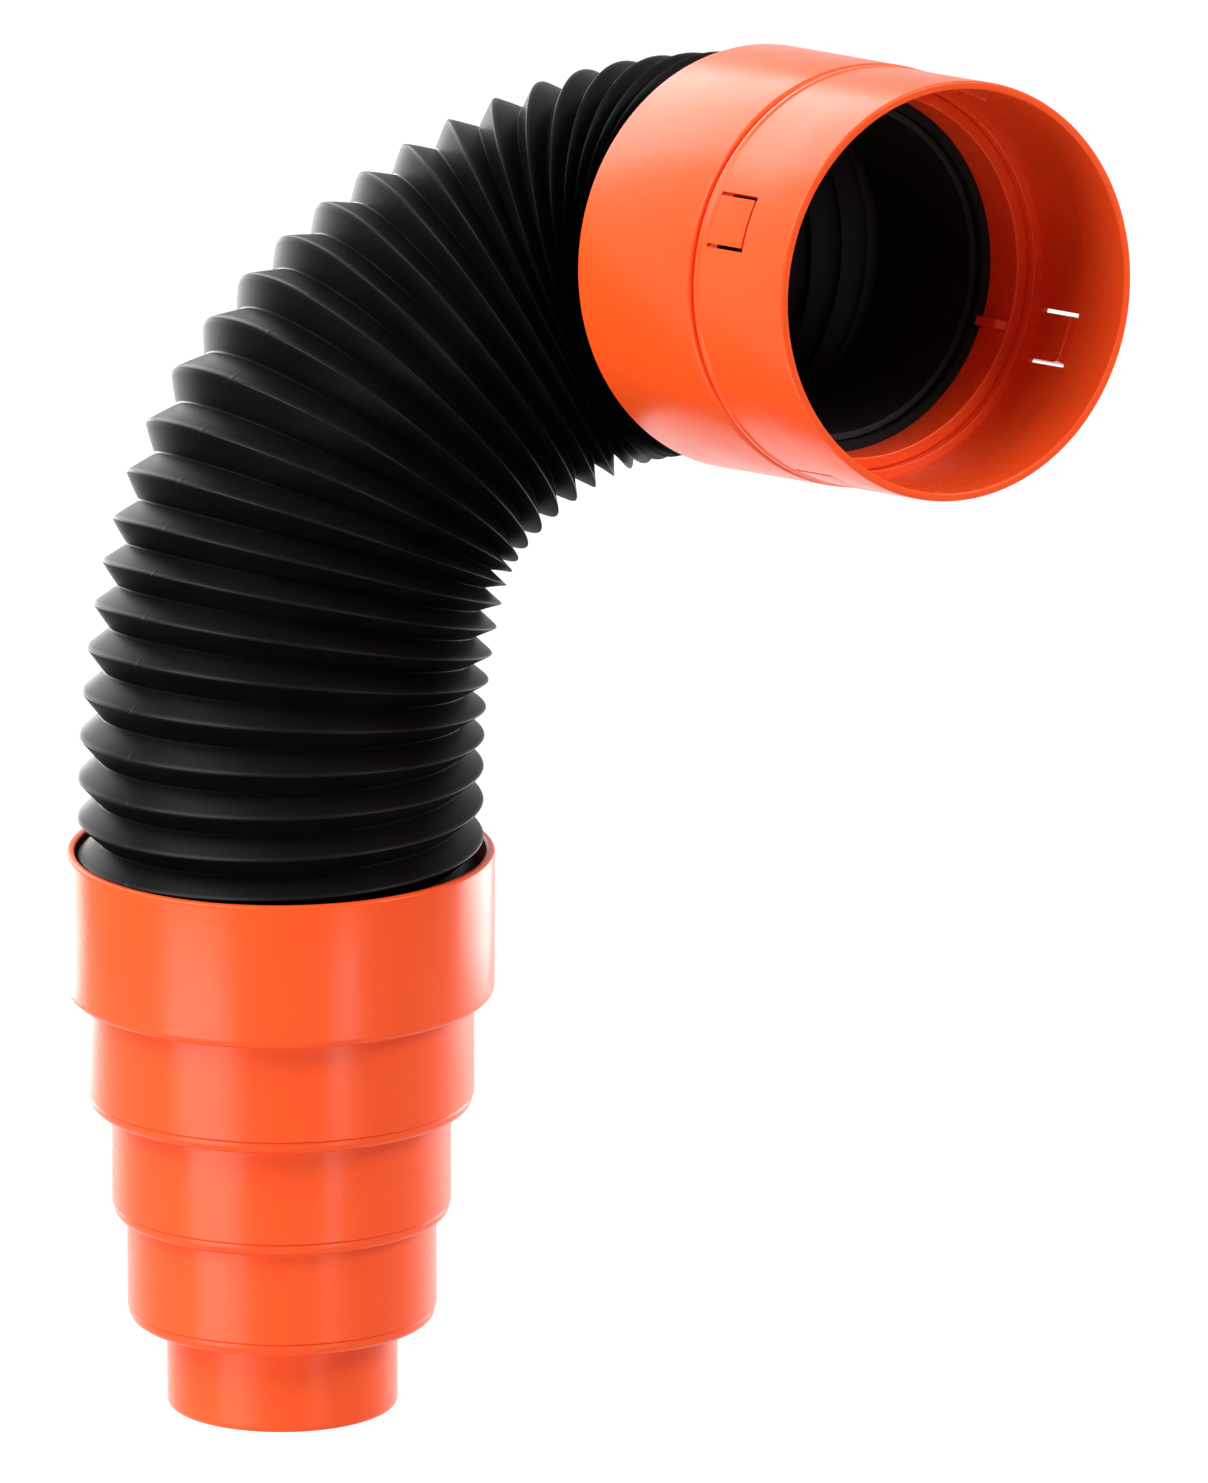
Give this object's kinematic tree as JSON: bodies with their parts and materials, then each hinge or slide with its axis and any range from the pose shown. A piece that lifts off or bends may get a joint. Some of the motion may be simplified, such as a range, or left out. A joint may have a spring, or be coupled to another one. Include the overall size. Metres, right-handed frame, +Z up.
{
  "type": "sewer hose kit",
  "caption": "Ribbed flexible sewer hose bent over about ninety degrees, with a stepped outlet adapter below and a latching swivel coupling above.",
  "frame": {"origin": "centre of the outlet spigot's open lower end", "axes": "+Z up along the adapter's axis; the coupling's mouth faces +X and 7 degrees up"},
  "size_m": [0.1846, 0.1859, 0.3165],
  "materials": {
    "orange_plastic": "smooth orange moulded plastic, satin gloss",
    "hose_rubber": "black flexible wall, soft sheen",
    "black_plastic": "black moulded plastic",
    "seal_rubber": "dull black rubber",
    "spring_steel": "bright spring steel"
  },
  "bodies": {
    "adapter": {"hose_socket": "orange_plastic", "upper_reducer": "orange_plastic", "lower_reducer": "orange_plastic", "outlet_spigot": "orange_plastic", "upper_joint_seal": "seal_rubber", "middle_joint_seal": "seal_rubber", "lower_joint_seal": "seal_rubber", "socket_gasket": "seal_rubber", "socket_clip": "spring_steel"},
    "hose": {"lower_hose_liner": "black_plastic", "ribbed_hose": "hose_rubber"},
    "coupling": {"coupling_sleeve": "orange_plastic", "hose_end_insert": "orange_plastic", "upper_hose_liner": "black_plastic", "hose_end_seal": "seal_rubber", "collar_seal": "seal_rubber", "swivel_clip": "spring_steel"},
    "collar": {"locking_collar": "orange_plastic"},
    "tab_1": {"latch_tab_1": "orange_plastic"},
    "tab_2": {"latch_tab_2": "orange_plastic"},
    "tab_3": {"latch_tab_3": "orange_plastic"},
    "tab_4": {"latch_tab_4": "orange_plastic"}
  },
  "joints": [
    {"name": "socket_swivel", "type": "hinge", "parent": "adapter", "child": "hose", "pos_m": [0, 0, 0.0987], "axis": [0, 0, 1], "continuous": true},
    {"name": "hose_bend", "type": "hinge", "parent": "hose", "child": "coupling", "pos_m": [0.0089, 0.0381, 0.2131], "axis": [0, 1, 0], "range_deg": [-60, 15], "deforming": ["ribbed_hose"]},
    {"name": "collar_swivel", "type": "hinge", "parent": "coupling", "child": "collar", "pos_m": [0.13155, 0.0913, 0.27057], "axis": [0.9925, 0, 0.1219], "continuous": true},
    {"name": "tab_1_flex", "type": "hinge", "parent": "collar", "child": "tab_1", "pos_m": [0.10312, 0.13331, 0.24734], "axis": [-0.1105, 0.4226, 0.8996], "range_deg": [0, 8], "stiffness_Nm_per_rad": 0.15},
    {"name": "tab_2_flex", "type": "hinge", "parent": "collar", "child": "tab_2", "pos_m": [0.09561, 0.11089, 0.30848], "axis": [-0.0515, -0.9063, 0.4195], "range_deg": [0, 8], "stiffness_Nm_per_rad": 0.15},
    {"name": "tab_3_flex", "type": "hinge", "parent": "collar", "child": "tab_3", "pos_m": [0.09835, 0.04929, 0.28623], "axis": [0.1105, -0.4226, -0.8996], "range_deg": [0, 8], "stiffness_Nm_per_rad": 0.15},
    {"name": "tab_4_flex", "type": "hinge", "parent": "collar", "child": "tab_4", "pos_m": [0.10585, 0.07171, 0.22509], "axis": [0.0515, 0.9063, -0.4195], "range_deg": [0, 8], "stiffness_Nm_per_rad": 0.15}
  ]
}
